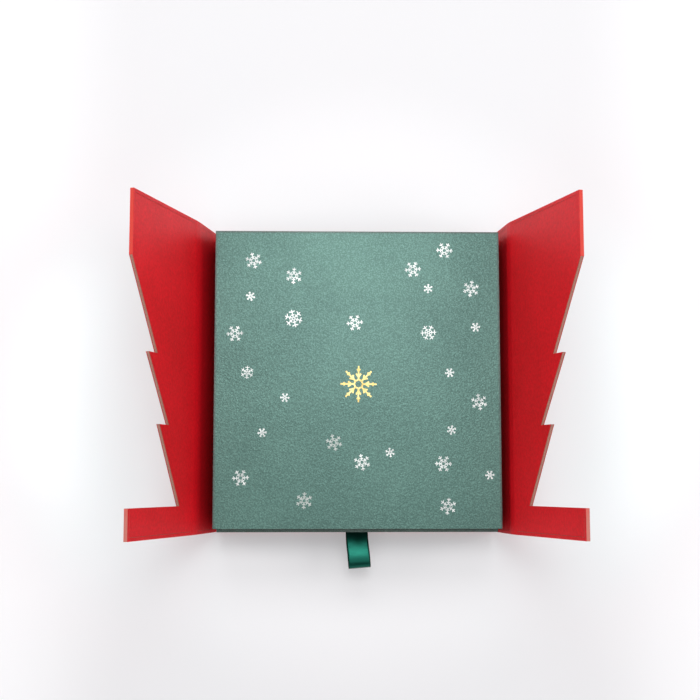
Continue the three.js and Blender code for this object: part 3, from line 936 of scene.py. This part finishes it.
def make_floor():
    mesh = bpy.data.meshes.new("floor")
    corners = [(x * FLOOR_HALF, y * FLOOR_HALF, 0) for x, y in ((-1, -1), (1, -1), (1, 1), (-1, 1))]
    mesh.from_pydata(corners, [], [(0, 1, 2, 3)])
    mesh.materials.append(make_floor_finish())
    floor = bpy.data.objects.new("floor", mesh)
    bpy.context.scene.collection.objects.link(floor)
    floor.location.z = -FLOOR_DROP
    return floor


floor = make_floor()
print("floor is", [round(v, 2) for v in floor.dimensions])


# %% [markdown]
# The shadow is soft, so the light comes from panels. Light adds up, so each panel was rendered
# alone, and the powers were solved for so that their sum has the photograph's brightness at 50
# places. The two sheen panels above the rear make the sheen of the pearl paper, which fades to the
# front and the sides.

# %% Lamps
LAMPS = (  # name, place, target and size in metres, power in watts
    ("rear_panel", (0.0, 0.8, 1.0), (0, 0.05, 0.03), (0.8, 0.5), 4.4),
    ("top_panel", (0.0, -0.05, 1.7), (0, 0, 0), (1.6, 1.6), 9.0),
    ("sheen_panel", (0.04, 0.2, 1.5), (0, 0.03, 0.05), (0.75, 0.35), 2.0),
    ("rear_sheen_panel", (0.03, 0.34, 1.5), (0, 0.03, 0.05), (0.35, 0.35), 3.3),
    ("right_panel", (1.0, 0.0, 0.9), (0, 0, 0.03), (0.6, 0.6), 3.4),
    ("left_panel", (-0.9, 0.1, 0.5), (0.08, 0, 0.09), (0.5, 0.5), 1.6),
)


def add_lamp(name, place, target, size, power):
    lamp = bpy.data.lights.new(name, "AREA")
    lamp.shape, lamp.size, lamp.size_y, lamp.energy = "RECTANGLE", size[0], size[1], power
    holder = bpy.data.objects.new(name, lamp)
    bpy.context.scene.collection.objects.link(holder)
    holder.location = place
    aim = Vector(target) - Vector(place)
    holder.rotation_euler = aim.to_track_quat("-Z", "Y").to_euler()
    return holder


lamps = [add_lamp(*lamp) for lamp in LAMPS]
print("lamps:", [lamp.name for lamp in lamps])


# %% [markdown]
# The world adds a weak fill from all round, and the camera sees it as white. Foil and satin mirror
# the pale surroundings as well, so glossy rays that leave near the horizon see the same white as
# the camera does. Higher up they see the fill alone, and the panels make the highlights.

# %% World
FILL = 0.24
HORIZON_TOP, HORIZON_END = 0.35, 0.6


def make_world():
    world = bpy.data.worlds.new("studio")
    world.use_nodes = True
    tree = world.node_tree
    tree.nodes.clear()
    ray = add_node(tree, "ShaderNodeLightPath")
    fill = add_node(tree, "ShaderNodeBackground", {"Color": linear("#f6f6fa"), "Strength": FILL})
    seen = add_node(tree, "ShaderNodeBackground", {"Color": linear("#ffffff"), "Strength": 1.0})
    way = add_node(tree, "ShaderNodeSeparateXYZ", {
        "Vector": add_node(tree, "ShaderNodeTexCoord").outputs["Generated"]})
    low = add_node(tree, "ShaderNodeMapRange", {
        "Value": way.outputs["Z"], "From Min": HORIZON_TOP, "From Max": HORIZON_END,
        "To Min": 1.0, "To Max": 0.0})
    shiny = add_node(tree, "ShaderNodeMath", {
        0: ray.outputs["Is Glossy Ray"], 1: ray.outputs["Is Transmission Ray"]},
        operation="MAXIMUM")
    around = add_node(tree, "ShaderNodeMath", {0: shiny.outputs[0], 1: low.outputs["Result"]},
                      operation="MULTIPLY")
    share = add_node(tree, "ShaderNodeMath", {
        0: ray.outputs["Is Camera Ray"], 1: around.outputs[0]}, operation="MAXIMUM")
    mix = add_node(tree, "ShaderNodeMixShader", {
        0: share.outputs[0], 1: fill.outputs[0], 2: seen.outputs[0]})
    add_node(tree, "ShaderNodeOutputWorld", {"Surface": mix.outputs[0]})
    bpy.context.scene.world = world


make_world()
bpy.context.scene.view_settings.view_transform = "Standard"
print("world:", bpy.context.scene.world.name)

# %% [markdown]
# The photograph was taken from almost straight above, from a little in front. The camera's place,
# turn and lens were fitted to the corners of the box, so the render can be laid over it.

# %% Camera
CAMERA_LENS, CAMERA_SENSOR = 62.289, 36.0
CAMERA_PLACE = (-27.639, -75.383, 916.258)
CAMERA_TURN = (6.249, -1.467, -0.026)
camera = bpy.data.objects.new("camera", bpy.data.cameras.new("camera"))
bpy.context.scene.collection.objects.link(camera)
camera.data.lens, camera.data.sensor_width = CAMERA_LENS, CAMERA_SENSOR
camera.location = Vector(CAMERA_PLACE) * MM
camera.rotation_euler = [math.radians(v) for v in CAMERA_TURN]
bpy.context.scene.camera = camera
print("camera is", round(camera.location.z, 3), "m up")
